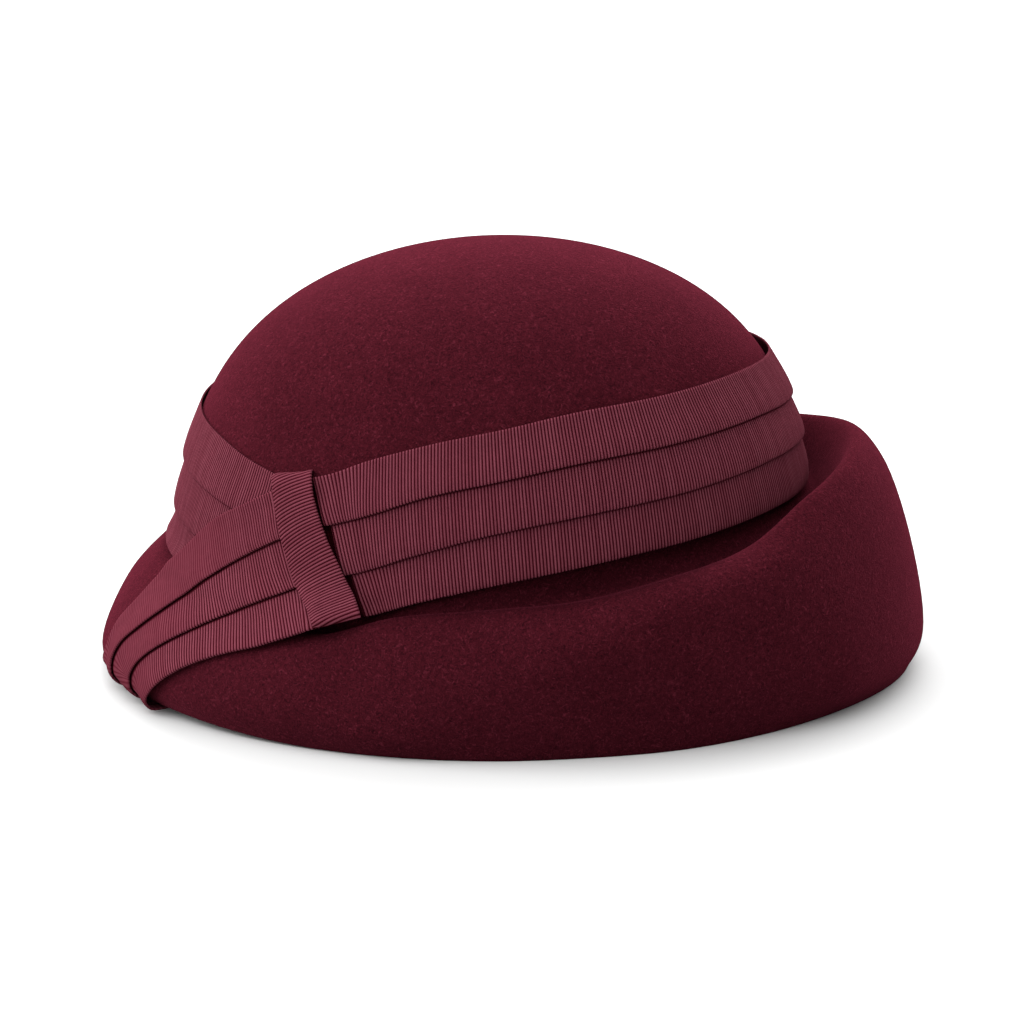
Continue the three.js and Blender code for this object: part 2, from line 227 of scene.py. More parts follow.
front_profile = felt_point(np.full(200, 270.0), np.linspace(0, RIM_V, 200))
front_length = np.linalg.norm(np.diff(front_profile, axis=0), axis=1).sum()
print(f"from the top of the crown to the rim at the front: {front_length:.0f} mm of felt")


# %% [markdown]
# ## From loops of points to meshes
#
# The felt and every length of ribbon are a row of closed loops: the felt has one round
# its wall at each azimuth, a ribbon one round its thickness at each place along it.
# Joining each loop to the next gives clean quads, so one helper makes all the meshes.

# %% A mesh from loops
def mesh_of_loops(name, loops, closed, values=None):
    """loops is (loop, point, xyz) in millimetres. values are numbers or vectors for each point.

    Closed loops join the last to the first. Others get a cap at each end.
    """
    rows, points = loops.shape[:2]
    n = rows if closed else rows - 1
    i, j = np.meshgrid(np.arange(n), np.arange(points), indexing="ij")
    i2, j2 = (i + 1) % rows, (j + 1) % points
    quads = np.stack([i * points + j, i * points + j2, i2 * points + j2, i2 * points + j], -1)
    quads = quads.reshape(-1, 4)
    if not closed:
        k = np.arange(points // 2 - 1)
        cap = np.stack([k + 1, k, points - 1 - k, points - 2 - k], -1)
        quads = np.concatenate([quads, cap, (rows - 1) * points + cap[:, ::-1]])
    mesh = bpy.data.meshes.new(name)
    place = (loops.reshape(-1, 3) + CENTRE_SHIFT) * MM
    mesh.from_pydata(place.tolist(), [], quads.tolist())
    for key, value in (values or {}).items():
        kind = "FLOAT_VECTOR" if value.ndim == 3 else "FLOAT"
        attribute = mesh.attributes.new(key, kind, "POINT")
        slot = "vector" if value.ndim == 3 else "value"
        attribute.data.foreach_set(slot, np.ascontiguousarray(value, np.float32).ravel())
    mesh.shade_smooth()
    thing = bpy.data.objects.new(name, mesh)
    bpy.context.scene.collection.objects.link(thing)
    return thing


def turned_out(thing):
    """Closes doubled points, and makes the faces of a closed mesh point outwards."""
    work = bmesh.new()
    work.from_mesh(thing.data)
    bmesh.ops.remove_doubles(work, verts=work.verts, dist=1e-6)
    if work.calc_volume(signed=True) < 0:
        bmesh.ops.reverse_faces(work, faces=work.faces)
    loose = sum(1 for e in work.edges if len(e.link_faces) != 2)
    volume = work.calc_volume() * 1e6
    print(f"{thing.name}: {volume:.1f} cm3, {len(work.faces)} faces, {loose} open edges")
    work.to_mesh(thing.data)
    work.free()
    return thing


# %% [markdown]
# ## The felt body
#
# One wall of felt, a little over 2 mm thick, follows the block from the top of the crown
# to the cut edge of the brim. The outer face comes straight from the profiles; the inner
# face is the same surface moved in by the wall along its normals, so the hat is hollow
# with an even wall as the moulded hood is. A Solidify modifier would do nearly the same,
# but here the cut edge of the brim is shaped too. Rings are closest where the profile bends.
#
# In the groove under the band, and along the front crest, the felt's colour is painted
# darker. This is painted shade for the shade that falls under the band and into the groove,
# and on the crest it damps the crest's light edge. So each point also carries a number for
# how much shade is painted on it, and the material reads it later.

# %% Felt mesh
AZIMUTH_STEP = 1.0
DOME_RINGS = 56
BRIM_RINGS = 72
INNER_RINGS = 60
CORNER = 0.35  # mm, the softened corners of the cut edge
OUTER_STOPS, INNER_STOPS = 0.03, 0.35  # v short of the rim, to leave room for the cut edge
GROOVE_PAINTED_SHADE = 0.475  # how much shade is painted in the groove, of 1
CREST_PAINTED_SHADE = 0.525  # painted shade over the front crest, as much more


def painted_felt_shade(azimuth, v):
    """How much shade is painted on the felt: from below the band, through the groove where v is
    10, to the crest where v is 11, and a little past the crest at the front.
    """
    front = smoothstep(np.cos(np.radians(azimuth - 280)), 0.8, 0.92)
    shade_ends = smoothstep(v, 10 + 0.9 * front, 10.8 + 0.7 * front)
    groove = smoothstep(v, 7.9, 8.3) * (1 - shade_ends)
    crest = front * smoothstep(v, 10.45, 10.7) * (1 - smoothstep(v, 10.83, 11.2))
    return GROOVE_PAINTED_SHADE * groove + CREST_PAINTED_SHADE * crest


def felt_body():
    azimuth = np.arange(0, 360, AZIMUTH_STEP)[:, None]
    dome = np.linspace(0, DOME_SPAN, DOME_RINGS, endpoint=False)
    outer_v = np.concatenate([dome, np.linspace(DOME_SPAN, RIM_V - OUTER_STOPS, BRIM_RINGS)])[None]
    inner_v = np.linspace(RIM_V - INNER_STOPS, 0, INNER_RINGS)[None]
    outer = felt_point(azimuth, outer_v)
    inner = felt_point(azimuth, inner_v) - FELT_WALL * felt_normal(azimuth, inner_v)
    rim_out, rim_z = around(BRIM, "rim_out", azimuth), rim_height(azimuth)
    rim = [(0.1, CORNER), (CORNER, 0), (RIM_FACE - CORNER, 0), (RIM_FACE, CORNER)]
    edge = np.stack([brim_point(azimuth, rim_out - d, rim_z + up)[:, 0] for d, up in rim], 1)
    loops = np.concatenate([outer, edge, inner], 1)
    # Painted shade, on the outer face only.
    painted_shade = np.zeros(loops.shape[:2])
    painted_shade[:, : outer_v.size] = painted_felt_shade(azimuth, outer_v)
    return turned_out(mesh_of_loops("moulded_felt", loops, True, {"painted_shade": painted_shade}))


felt = felt_body()

# %% [markdown]
# ## Corded ribbon
#
# Petersham is woven on fine warp threads over thick weft cords, so its face is a row of
# round ribs, a little over 1 mm apart, square across the ribbon. Each tier of the band is a
# pleat: the ribbon comes down over the felt, turns back on itself in a soft fold and ends
# out of sight beneath. A pleat's section is that path of the cloth's middle, and the two
# faces lie half a thickness to each side of it. The lower edge of each tier lies over the
# top of the next like a shingle, which gives the shadow line below each fold.
#
# The cords come later. Here each point only learns how far it lies along the ribbon and
# across it, which way its cord stands up, how far its cords are pressed low and painted in
# shade, as under a lap, where the fold above casts its shadow line, and how far the cloth
# is drawn tight, which evens them out.

# %% Ribbon dimensions, in millimetres
RIBBON = 0.3  # thickness of one layer
CORD_PITCH = 1.05
CORD_HEIGHT = 0.27
COLUMNS_A_CORD = 4
THINNEST_CORD = 0.92  # of a full one
FOLD_RADIUS = 0.2
LAP = 3
LAID = 0.2  # middle of the cloth above the felt at a tier's upper edge
LIFTED = 1.6  # the same at its fold, over the next tier
TURNED_UNDER = 3.5
PRESSED_AND_SHADED = 0.25  # how much of its height, and of its lit colour, a cord keeps where it is pressed flat and painted in shade


def pleat_path(width, first, last):
    """Distance below the upper edge and height of the cloth's middle, round the fold and back.

    first and last are the heights of the upper edge and the fold. The stations are closest
    at the edge of the lap, where the painted shade ends and the cords rise, and at the fold.
    """
    end = (width - FOLD_RADIUS)[:, None]
    lapped = np.broadcast_to([0, LAP / 4, LAP, LAP + 0.5, LAP + 1.1], (len(end), 5))
    open_face = end - lapped[:, -1:]
    bare = lapped[:, -1:] + open_face * np.array([0.16, 0.34, 0.52, 0.69, 0.83, 0.93, 1])
    face = np.concatenate([lapped, bare], 1)
    back = end - np.array([0.8, 2, TURNED_UNDER])
    turn = np.radians([36, 72, 108, 144, 180])[None]

    def height(d):
        return first[:, None] + (last - first)[:, None] * smoothstep(d, LAP, np.maximum(end, LAP + 1))

    round_d = end + FOLD_RADIUS * np.sin(turn)
    round_h = last[:, None] - FOLD_RADIUS * (1 - np.cos(turn))
    heights = [height(face), round_h, height(back) - 2 * FOLD_RADIUS]
    return np.concatenate([face, round_d, back], 1), np.concatenate(heights, 1)


def fold_press_and_shade(d, lap):
    """How much of their height and lit colour cords keep, d below the upper edge of a tier with
    this lap: under and just past the lap they are pressed low and painted in shade.
    """
    if not lap:
        return np.ones_like(d)
    return np.maximum(smoothstep(d, lap + 0.1, lap + 0.9), PRESSED_AND_SHADED)


print(f"cords: {10 / CORD_PITCH:.1f} in a centimetre, {CORD_HEIGHT} mm high")


# %% A length of ribbon from the surface of its middle
def ribbon_mesh(name, middle, along, thickness=RIBBON, relief_and_shade=1.0, drawn=0.0):
    """middle is (column, point, xyz), with its columns at these distances along the ribbon.

    relief is how much of their height the cords keep between the layers, and how much of their
    lit colour: where it is low their colour is painted in shade. drawn is how far the cloth is
    pulled tight, which flattens them and evens out their painted light and shade.
    """
    relief_and_shade = np.broadcast_to(relief_and_shade, middle.shape[:2])
    drawn = np.broadcast_to(drawn, middle.shape[:2])
    down = np.zeros_like(middle)
    steps = unit(np.diff(middle, axis=1))
    down[:, :-1] += steps
    down[:, 1:] += steps
    onward = np.gradient(middle, axis=0)
    face = unit(np.cross(unit(down), unit(onward)))
    hat_middle = np.array([CROWN_CENTRE_X, 0, CROWN_FOOT_Z])
    if np.mean(np.sum(face[:, 0] * (middle[:, 0] - hat_middle), -1)) < 0:
        face = -face
    outer = middle + face * thickness / 2
    inner = middle - face * thickness / 2
    between = np.linalg.norm(np.diff(middle, axis=1), axis=-1)
    across = np.concatenate([np.zeros((len(middle), 1)), np.cumsum(between, 1)], 1)
    values = {
        "along": np.repeat(along[:, None], 2 * middle.shape[1], 1),
        "across": np.concatenate([across, across[:, ::-1]], 1),
        "proud": np.concatenate([face * (relief_and_shade * (1 - drawn))[..., None], 0 * face], 1),
        # open carries the painted shade: where it is low the cords take the groove's dark colour.
        "open": np.concatenate([relief_and_shade, relief_and_shade[:, ::-1]], 1),
        "drawn": np.concatenate([drawn, drawn[:, ::-1]], 1),
    }
    piece = mesh_of_loops(name, np.concatenate([outer, inner[:, ::-1]], 1), False, values)
    flat = (float(across[:, -1].mean()), float(along[-1] - along[0]))
    return turned_out(piece), flat


# %% Even steps along a line
SAMPLES = 400  # along a line, before it is divided


def evenly(points, step):
    """Positions, as fractional indices, at even distances along a line of points."""
    run = np.concatenate([[0], np.cumsum(np.linalg.norm(np.diff(points, axis=0), axis=1))])
    along = np.arange(0, run[-1], step)
    return np.interp(along, run, np.arange(len(points))), along


# %% [markdown]
# ## The band
#
# The band goes once round the crown, low at the knot and high at the other end. Its ribs
# stay nearly square to its edges, so where the edges climb the ribs lean back with them.
# The straight ribbon can't follow the dome inwards, so its top edge stands a little off
# the felt, most at the ends, where there is nothing to pull it tight. One section swept
# along a curve would miss the felt where the crown narrows, so each column of points is
# placed on the felt itself, and lifted off it by the path of the cloth.

# %% Where the band lies
BAND = table(
    "azimuth top upper_fold lower_fold foot",
    [
        (0, 102.8, 89.2, 76.6, 62.6),
        (30, 101.2, 87.6, 75, 60.5),
        (60, 99.4, 85.2, 71.6, 57.2),
        (90, 97, 82, 67.5, 53),
        (120, 92.8, 77.8, 62.8, 48.3),
        (150, 88.8, 73.6, 58, 44.6),
        (180, 86.6, 70.6, 54.4, 42.4),
        (204, 84, 67.6, 52, 40.4),
        (222, 79.4, 64, 49.5, 39.6),
        (229, 78, 64, 49.2, 39.6),
        (237, 80.2, 65, 50, 38.8),
        (246, 86.4, 69.7, 52.7, 38.2),
        (258, 92.4, 77.3, 60.4, 44.9),
        (270, 96.4, 82, 66.6, 50.8),
        (285, 100.6, 86.6, 71.2, 55.7),
        (300, 102.4, 88.9, 74.1, 59.2),
        (330, 104, 91.2, 77.6, 63.1),
    ],
)
BAND_TIERS = [
    ("top", "top", "upper_fold", 237.4, 588),
    ("middle", "upper_fold", "lower_fold", 241.9, 588),
    ("bottom", "lower_fold", "foot", 246.7, 582),
]
RIB_LEAN = 0.6  # how far the ribs turn square to the edges: 0 upright, 1 square
KNOT_LEAN = 2.9  # degrees of azimuth more where the strap gathers them
KNOT_RISE = 1.2  # mm, the tiers swell before they go in under the strap
EDGE_OFF = 0.25  # mm, how far the top edge stands off at the front
EDGE_FREE = 0.6  # mm more at the ends
SLACK = 1.2  # mm, how far the band stands off at its high end
UNDER_STRAP = 2.5  # degrees of azimuth that a tier runs on, pressed flat and painted in shade, under the strap
band_depth = BAND["top"] - BAND["foot"]
print(f"band: {band_depth.min():.0f} to {band_depth.max():.0f} mm deep")


# %% How far the band stands off the felt
def stand_off(azimuth):
    """Height of the band's top edge over the felt: snug at the front, free at both ends."""
    front = np.cos(np.radians(azimuth - 268))
    return LAID + EDGE_OFF + EDGE_FREE * smoothstep(-front, -0.75, 0.1)


def slack(azimuth):
    """The whole band stands further off at its high end, where the crown turns away fastest."""
    return SLACK * np.maximum(np.cos(np.radians(azimuth)), 0) ** 2


print(f"top edge off the felt: {stand_off(268):.2f} mm in front, {stand_off(88):.2f} mm behind")


# %% How the tiers go in under the strap
def gathered(along, begins, first, last):
    """Heights of a tier's upper edge and fold where it goes in under the strap."""
    out = smoothstep(along - begins, 0, 0.5)
    swell = KNOT_RISE * (1 - smoothstep(along - begins, 0, 12))
    return LAID + (first + swell - LAID) * out, 3 * LAID + (last + swell - 3 * LAID) * out


# %% The three tiers of the band
def band_tier(label, upper, lower, shows, end):
    """A tier between two edges of the band, from the azimuth where it shows to its end."""
    rough = np.arange(shows - UNDER_STRAP, end + 0.25, 0.5)
    middle_z = (around(BAND, upper, rough) + around(BAND, lower, rough)) / 2
    line = felt_point(rough, wall_at(rough, middle_z))
    index, along = evenly(line, CORD_PITCH / COLUMNS_A_CORD)
    azimuth = np.interp(index, np.arange(len(rough)), rough)
    run = np.linalg.norm(np.diff(line, axis=0), axis=1)
    climb = np.interp(azimuth, rough[:-1], np.diff(middle_z) / run)
    degrees_a_mm = np.interp(azimuth, rough[:-1], np.diff(rough) / run)
    begins = np.interp(shows, azimuth, along)

    lap = 0 if upper == "top" else LAP
    width = around(BAND, upper, azimuth) - around(BAND, lower, azimuth) + lap
    first = stand_off(azimuth) if upper == "top" else LAID
    last = LIFTED - 0.3 * smoothstep(azimuth, 530, 565)  # the tail presses it down
    d, height = pleat_path(width, *gathered(along, begins, first, last))
    height = height + slack(azimuth)[:, None]
    share = d / width[:, None]
    lean = RIB_LEAN * width * climb * degrees_a_mm
    lean = lean + KNOT_LEAN * (1 - smoothstep(along - begins, 0, 18))
    place = azimuth[:, None] + (share - 0.5) * lean[:, None]
    top = around(BAND, upper, place) + lap
    z = top + (around(BAND, lower, place) - top) * share
    v = wall_at(place, z)
    middle = felt_point(place, v) + felt_normal(place, v) * height[..., None]
    # Under the strap and up to its edge the tier's cords are pressed flat and painted in shade, for the
    # dark gap at the strap's right edge.
    free = np.maximum(smoothstep(along - begins, 0, 0.8), PRESSED_AND_SHADED)[:, None]
    return ribbon_mesh("band_" + label, middle, along, relief_and_shade=free * fold_press_and_shade(d, lap))


ribbons = {}
for tier in BAND_TIERS:
    piece, flat = band_tier(*tier)
    ribbons[piece] = flat
    print(f"{piece.name}: a strip {flat[0]:.1f} by {flat[1]:.0f} mm, {flat[1] / CORD_PITCH:.0f} cords")

# %% [markdown]
# ## The tail
#
# From the knot the ribbon runs on in three pleats, down over the low side of the brim and
# round under its rim. The pleats lie on a bed, a smooth surface through four lines: the
# upper edge, the two folds and the foot. Made one by one the pleats would part or cross
# as they draw together, but on one bed each keeps to its neighbour's edge. Near the knot
# the band lies below the tail and lifts it, and past the foot of the band it comes down
# onto the felt.

# %% The bed of the tail, in millimetres from the knot to under the rim
TAIL_UPPER = [
    (-68.7, -64.1, 75.3), (-73, -61.5, 73.5), (-83, -54.5, 67), (-90.4, -47, 61.3),
    (-96.2, -41.2, 54.9), (-103.6, -36.5, 46.4), (-112.5, -30, 36.8), (-119.8, -28.5, 28.4),
    (-126.8, -24.7, 19.6), (-130, -24, 12.6), (-131.6, -24.1, 6.5), (-129, -23.6, 3.3),
    (-126.4, -23, 3.3), (-124.5, -22.5, 3.3),
]
TAIL_UPPER_FOLD = [
    (-67.2, -68.5, 61.2), (-70.7, -66.5, 59.5), (-80, -60.6, 53.1), (-87.5, -55.8, 47.2),
    (-95.3, -52.4, 41), (-102.8, -48.9, 35.4), (-110.3, -46.7, 29.6), (-117.5, -42.9, 23.3),
    (-124.3, -37.6, 15.8), (-127, -36, 9.9), (-126.9, -37.2, 6), (-124.4, -36.6, 3.5),
    (-121.9, -35.7, 3.5), (-120, -34.9, 3.5),
]
TAIL_LOWER_FOLD = [
    (-62.3, -75, 47.7), (-65.9, -73.7, 45.4), (-75, -71.6, 41), (-83.9, -68.1, 36.9),
    (-92.3, -65.5, 32.7), (-100, -62.9, 28.4), (-107.8, -58.9, 23.3), (-113.9, -54.7, 18.3),
    (-118.2, -51.4, 13.4), (-120.2, -50, 8.7), (-119.7, -50.8, 5.7), (-117.4, -49.9, 3.5),
    (-115.3, -48.6, 3.5), (-113.7, -47.5, 3.5),
]
TAIL_FOOT = [
    (-56, -88.3, 37), (-60.3, -87.2, 35.8), (-69.5, -84.7, 32.3), (-78, -82, 28.8),
    (-87.4, -77.6, 25.4), (-96.1, -73, 21.4), (-103.2, -68.9, 17.1), (-108.2, -65.5, 12.8),
    (-111.2, -62.9, 8.8), (-112.3, -60.5, 6), (-111.6, -59.2, 4.4), (-110, -58.3, 3.4),
    (-108, -57, 3.3), (-106.5, -56, 3.3),
]
TAIL_LINES = np.array([TAIL_UPPER, TAIL_UPPER_FOLD, TAIL_LOWER_FOLD, TAIL_FOOT], float)
OVER_BAND = 1.35  # mm, how far the band lifts the tail
OVER_FELT = 0.3  # mm, the bed above the felt
TAIL_RISE = 1.2  # mm, from a pleat's upper edge to its fold
FOOT_RISE = 1.8  # mm, the last pleat's foot stands off the felt
FOOT_GAPES = 1.5  # mm more where it goes round the rim
TAIL_LEAN = 0.7  # how far the ribs turn square to the pleats' edges
TAIL_DRAWN = [(0, 5), (4, 7), (5.8, 8.5)]  # stations between which each pleat is drawn tight
MOST_DRAWN = 0.78  # of 1, which would leave no relief
print(f"tail: {len(TAIL_LINES)} lines through {TAIL_LINES.shape[1]} stations")


# %% Places on the bed
def bed_point(t, s):
    """t counts stations along the tail and s lines across it. t has one for each column of s."""
    t = np.broadcast_to(t[:, None] if t.ndim == 1 else t, s.shape)
    lines = spline(TAIL_LINES.transpose(1, 0, 2), np.broadcast_to(t.ravel(), (len(TAIL_LINES), t.size)))
    return spline(lines, np.clip(s.reshape(-1, 1), 0, 3)).reshape(*s.shape, 3)


def bed_place(t, s):
    """Points on the bed, and the way out of the hat there."""
    slip, last = 0.05, TAIL_LINES.shape[1] - 1
    onward = bed_point(np.minimum(t + slip, last), s) - bed_point(np.maximum(t - slip, 0), s)
    inside = np.clip(s, slip, 3 - slip)
    down = bed_point(t, inside + slip) - bed_point(t, inside - slip)
    return bed_point(t, s), unit(np.cross(onward, down))


# %% The three pleats of the tail
def tail_pleat(label, number):
    """number counts the pleats from the top one, 0."""
    stations = np.linspace(0, TAIL_LINES.shape[1] - 1, SAMPLES)
    line = bed_point(stations, np.full((SAMPLES, 1), number + 0.5))[:, 0]
    index, along = evenly(line, CORD_PITCH / COLUMNS_A_CORD)
    t = np.interp(index, np.arange(SAMPLES), stations)

    def line_at(s):
        return bed_point(t, np.full((len(t), 1), float(s)))[:, 0]

    panel = np.linalg.norm(line_at(number + 1) - line_at(number), axis=1)
    above = panel
    if number:
        above = np.linalg.norm(line_at(number) - line_at(number - 1), axis=1)
    lap = LAP if number else 0
    rise = np.full_like(panel, TAIL_RISE)
    if number == 2:
        rise = FOOT_RISE + FOOT_GAPES * smoothstep(t, 6, 9) * (1 - smoothstep(t, 10.2, 11.5))
    d, height = pleat_path(panel + lap, np.zeros_like(panel), rise)
    s = np.where(d < lap, number - (lap - d) / above[:, None], number + (d - lap) / panel[:, None])
    onward = unit(np.gradient(line_at(number + 0.5), axis=0))
    skew = np.sum((line_at(number + 1) - line_at(number)) * onward, -1) * np.gradient(t, along)
    lean = np.convolve(np.pad(-TAIL_LEAN * skew, 8, mode="edge"), np.ones(17) / 17, mode="valid")
    place = np.clip(t[:, None] + lean[:, None] * (s - number - 0.5), 0, TAIL_LINES.shape[1] - 1)
    bed, outward = bed_place(place, s)
    azimuth = np.degrees(np.arctan2(bed[..., 1] / CROWN_OVAL, bed[..., 0] - CROWN_CENTRE_X))
    base = OVER_FELT + OVER_BAND * smoothstep(bed[..., 2] - around(BAND, "foot", azimuth), -5, 2)
    middle = bed + outward * (base + height)[..., None]
    drawn = MOST_DRAWN * smoothstep(place, *TAIL_DRAWN[number])
    return ribbon_mesh("tail_" + label, middle, along, relief_and_shade=fold_press_and_shade(d, lap), drawn=drawn)


for number, label in enumerate(["top", "middle", "bottom"]):
    piece, flat = tail_pleat(label, number)
    ribbons[piece] = flat
    print(f"{piece.name}: a strip {flat[0]:.1f} by {flat[1]:.0f} mm")

# %% [markdown]
# ## The strap round the knot
#
# A short length of the ribbon wraps the place where the band and the tail meet. It curls
# in over the band's top edge, stands proud of the pleats below it, and tucks in under
# their foot. It runs down the hat, so its ribs lie across it, nearly level. Cloth that
# only bends and twists needs just two lines of points, one down each side: it lies
# straight from one to the other, but for the slight arch of its ribs.

# %% The strap
STRAP_LEFT = [
    (-74.2, -59.2, 78.5), (-74.4, -61.9, 78.2), (-74.2, -64, 76.3), (-73.6, -66, 72.5),
    (-72.8, -67.9, 67.2), (-71.6, -70, 61.3), (-69.5, -72.5, 54.9), (-67.6, -75.3, 49.2),
    (-65.3, -79.8, 45.7), (-63, -86, 43.5), (-61, -92.2, 40.2), (-60.6, -92.3, 38.9),
    (-60.4, -91, 38.2),
]
STRAP_RIGHT = [
    (-61, -67, 81.3), (-61.2, -69.6, 81.1), (-61.1, -71.6, 79.3), (-60.7, -73.5, 75.8),
    (-59.5, -75.3, 71.4), (-57.9, -77.1, 66.7), (-55.6, -79.3, 61.2), (-52.7, -81.6, 55.6),
    (-50.5, -83.6, 51.2), (-48.3, -86.4, 47.7), (-46.3, -91.4, 43.5), (-46, -91.5, 42.3),
    (-45.8, -90.4, 41.5),
]
STRAP_CLOTH = 0.4  # two layers pressed together
STRAP_ARCH = 0.6  # mm, each rib rises in its middle
STRAP_SLANT = 4.2  # mm, the ribs climb to the right more than the strap's ends do
EDGE_PROUD = 0.4  # mm, the right edge stands up and the left one dips


def squeezed(place, soft=0.15):
    """Positive places as they are. The last cords run out at the end instead of passing it."""
    return np.where(place > soft, place, soft * np.exp((np.minimum(place, soft) - soft) / soft))


def strap():
    knots = np.array([STRAP_LEFT, STRAP_RIGHT], float).transpose(1, 0, 2)
    fine = np.linspace(0, len(knots) - 1, SAMPLES)
    sides = spline(knots, np.broadcast_to(fine, (2, SAMPLES)))
    index, along = evenly(sides.mean(0), CORD_PITCH / COLUMNS_A_CORD)
    run = np.interp(np.arange(SAMPLES), index, along)
    share = np.linspace(0, 1, 19)[None]
    slant = STRAP_SLANT * (1 - smoothstep(along, 20, 50) / 3)
    place = along[:, None] - STRAP_ARCH * 4 * share * (1 - share) - slant[:, None] * (share - 0.5)
    place = squeezed(place)
    place = along[-1] - squeezed(along[-1] - place)
    t = np.interp(place, run, fine)

    def side(number):
        return spline(knots[:, number : number + 1], t.reshape(1, -1)).reshape(*t.shape, 3)

    left, right = side(0), side(1)
    flat = left + (right - left) * share[..., None]
    outward = unit(np.cross(np.gradient(flat, axis=0), right - left))
    height = EDGE_PROUD * (smoothstep(share, 0.7, 1) - 1.3 * (1 - smoothstep(share, 0, 0.15)))
    # The cords run out over the last 1.5 mm at both ends, and there the colour is painted in shade, the
    # dark lines along the strap's turned-under ends.
    relief_and_shade = smoothstep(place, 0.3, 1.5) * (1 - smoothstep(place, along[-1] - 1.5, along[-1] - 0.3))
    middle = flat + outward * (height * relief_and_shade)[..., None]
    return ribbon_mesh("knot_strap_ribbon", middle, along, STRAP_CLOTH, relief_and_shade)


piece, flat = strap()
ribbons[piece] = flat
print(f"{piece.name}: a strip {flat[0]:.1f} by {flat[1]:.0f} mm")

# %% [markdown]
# ## Colours and nodes
#
# Colours are written as sRGB hex, as they would be read from a swatch card, and one
# function turns them to the linear values that the shader mixes. One function adds a
# node, for materials, the room's light and geometry alike, so a tree reads as a list
# of nodes in the order that the values run through them.

# %% Helpers for node trees
def to_linear(code):
    parts = [int(code[i : i + 2], 16) / 255 for i in (1, 3, 5)]
    return [*(c / 12.92 if c <= 0.04045 else ((c + 0.055) / 1.055) ** 2.4 for c in parts), 1]


def add(tree, kind, settings=(), links=()):
    """Adds a node. A setting is one of its properties or the value of one of its inputs."""
    node = tree.nodes.new(kind)
    for key, value in dict(settings).items():
        if isinstance(key, str) and hasattr(node, key):
            setattr(node, key, value)
        else:
            node.inputs[key].default_value = value
    for key, source in dict(links).items():
        tree.links.new(source, node.inputs[key])
    return node


def new_material(name):
    material = bpy.data.materials.new(name)
    material.use_nodes = True
    material.node_tree.nodes.clear()
    return material, material.node_tree


def finish_material(tree, surface):
    add(tree, "ShaderNodeOutputMaterial", {}, {"Surface": surface.outputs["BSDF"]})


# %% [markdown]
# ## Wool felt
#
# The felt is wool, wetted, worked and brushed: fibres lie in all directions, so it is matt,
# with a soft bloom where the eye looks along the nap. The bloom is sheen, which a velvet
# or a felt has and a plastic hasn't. The colour is dyed in the wool and mottles a little
# from fibre to fibre. Single fibres are about 0.03 mm, too fine to show, so the flecks
# are drawn as the small tufts, 1 to 2 mm across, that the eye picks out. A colour ramp
# on noise gives them more cheaply than hair would, and bump lets the light catch them.
# Painted shade darkens the colour under the band, in the groove and along the front crest.

# %% The felt's colour
FELT_DEEP, FELT_MID, FELT_LIGHT = "#1b0509", "#3a0f17", "#5b212d"
CLOUD = 1000 / 45  # mm, 45 to the metre: the slow change from place to place
DARKEST_PAINTED_SHADE = 0.2  # of the colour, where the painted shade is deepest


def felt_colour(tree, place, tufts, curls):
    """Tufts mottle it, curls fleck it, and it changes slowly from place to place."""
    clouds = add(tree, "ShaderNodeTexNoise", {"Scale": 1000 / CLOUD, "Detail": 2.0}, {"Vector": place})
    mottle = add(tree, "ShaderNodeValToRGB", {}, {"Fac": tufts})
    deep, mid = mottle.color_ramp.elements
    deep.position, deep.color = 0.3, to_linear(FELT_DEEP)
    mid.position, mid.color = 0.7, to_linear(FELT_MID)
    fleck = add(
        tree, "ShaderNodeMapRange",
        {"From Min": 0.55, "From Max": 0.75, "To Max": 0.45},
        {"Value": curls},
    )
    flecked = add(
        tree, "ShaderNodeMix",
        {"data_type": "RGBA", 7: to_linear(FELT_LIGHT)},
        {0: fleck.outputs[0], 6: mottle.outputs["Color"]},
    )
    shade = add(
        tree, "ShaderNodeMapRange",
        {"From Min": 0.3, "From Max": 0.7, "To Min": 0.92, "To Max": 1.08},
        {"Value": clouds.outputs["Fac"]},
    )
    # Painted shade: the colour is darker under the band, in the groove and on the front crest.
    painted_shade = add(tree, "ShaderNodeAttribute", {"attribute_name": "painted_shade"})
    painted_shade_scale = add(
        tree, "ShaderNodeMapRange",
        {"To Min": 1.0, "To Max": DARKEST_PAINTED_SHADE},
        {"Value": painted_shade.outputs["Fac"]},
    )
    depth = add(
        tree, "ShaderNodeMath",
        {"operation": "MULTIPLY"},
        {0: shade.outputs[0], 1: painted_shade_scale.outputs[0]},
    )
    return add(
        tree, "ShaderNodeVectorMath",
        {"operation": "SCALE"},
        {0: flecked.outputs[2], "Scale": depth.outputs[0]},
    ).outputs[0]


print("the felt's middle colour in linear light:", [round(c, 4) for c in to_linear(FELT_MID)[:3]])

# %% The felt's material
FELT_BLOOM = "#d85976"
TUFT = 0.9  # mm
CURL = 2.0  # mm


